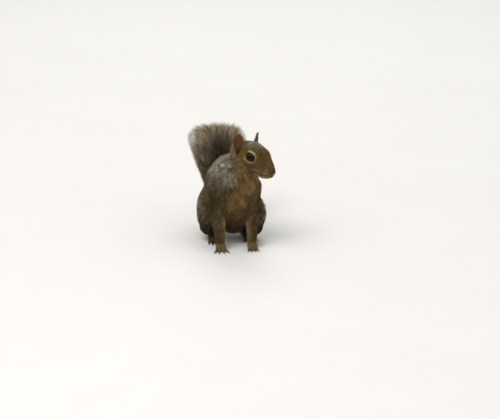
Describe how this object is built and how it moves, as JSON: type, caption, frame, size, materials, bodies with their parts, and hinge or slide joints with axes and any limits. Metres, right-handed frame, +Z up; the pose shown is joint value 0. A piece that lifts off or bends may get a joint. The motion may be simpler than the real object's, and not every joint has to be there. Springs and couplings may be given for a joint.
{
  "type": "squirrel model",
  "caption": "Life-size grey squirrel, standing alert on all fours with its head turned to its left and its bushy tail raised and curled back: a still display model.",
  "frame": {"origin": "on the floor, under the middle of the animal's box", "axes": "+Z up, the animal faces -Y, its left side is +X"},
  "size_m": [0.085, 0.202, 0.1485],
  "materials": {
    "coat": "matte",
    "face": "matte",
    "tail_hair": "matte",
    "ear": "matte",
    "paw": "matte",
    "eye": "polished",
    "nose": "satin",
    "claw": "satin"
  },
  "bodies": {
    "root": {"head": "face", "jaw": "face", "nose": "nose", "eye_left": "eye", "ear_left": "ear", "eye_right": "eye", "ear_right": "ear", "upper_arm_left": "coat", "forearm_left": "coat", "forefoot_left": "paw", "fore_claw_left_1": "claw", "fore_claw_left_2": "claw", "fore_claw_left_3": "claw", "fore_claw_left_4": "claw", "thigh_left": "coat", "shank_left": "coat", "hindfoot_left": "paw", "hind_claw_left_1": "claw", "hind_claw_left_2": "claw", "hind_claw_left_3": "claw", "hind_claw_left_4": "claw", "hind_claw_left_5": "claw", "upper_arm_right": "coat", "forearm_right": "coat", "forefoot_right": "paw", "fore_claw_right_1": "claw", "fore_claw_right_2": "claw", "fore_claw_right_3": "claw", "fore_claw_right_4": "claw", "thigh_right": "coat", "shank_right": "coat", "hindfoot_right": "paw", "hind_claw_right_1": "claw", "hind_claw_right_2": "claw", "hind_claw_right_3": "claw", "hind_claw_right_4": "claw", "hind_claw_right_5": "claw", "neck": "coat", "trunk": "coat", "tail_root": "tail_hair", "tail_middle": "tail_hair", "tail_bend": "tail_hair", "tail_tip": "tail_hair"}
  },
  "joints": []
}
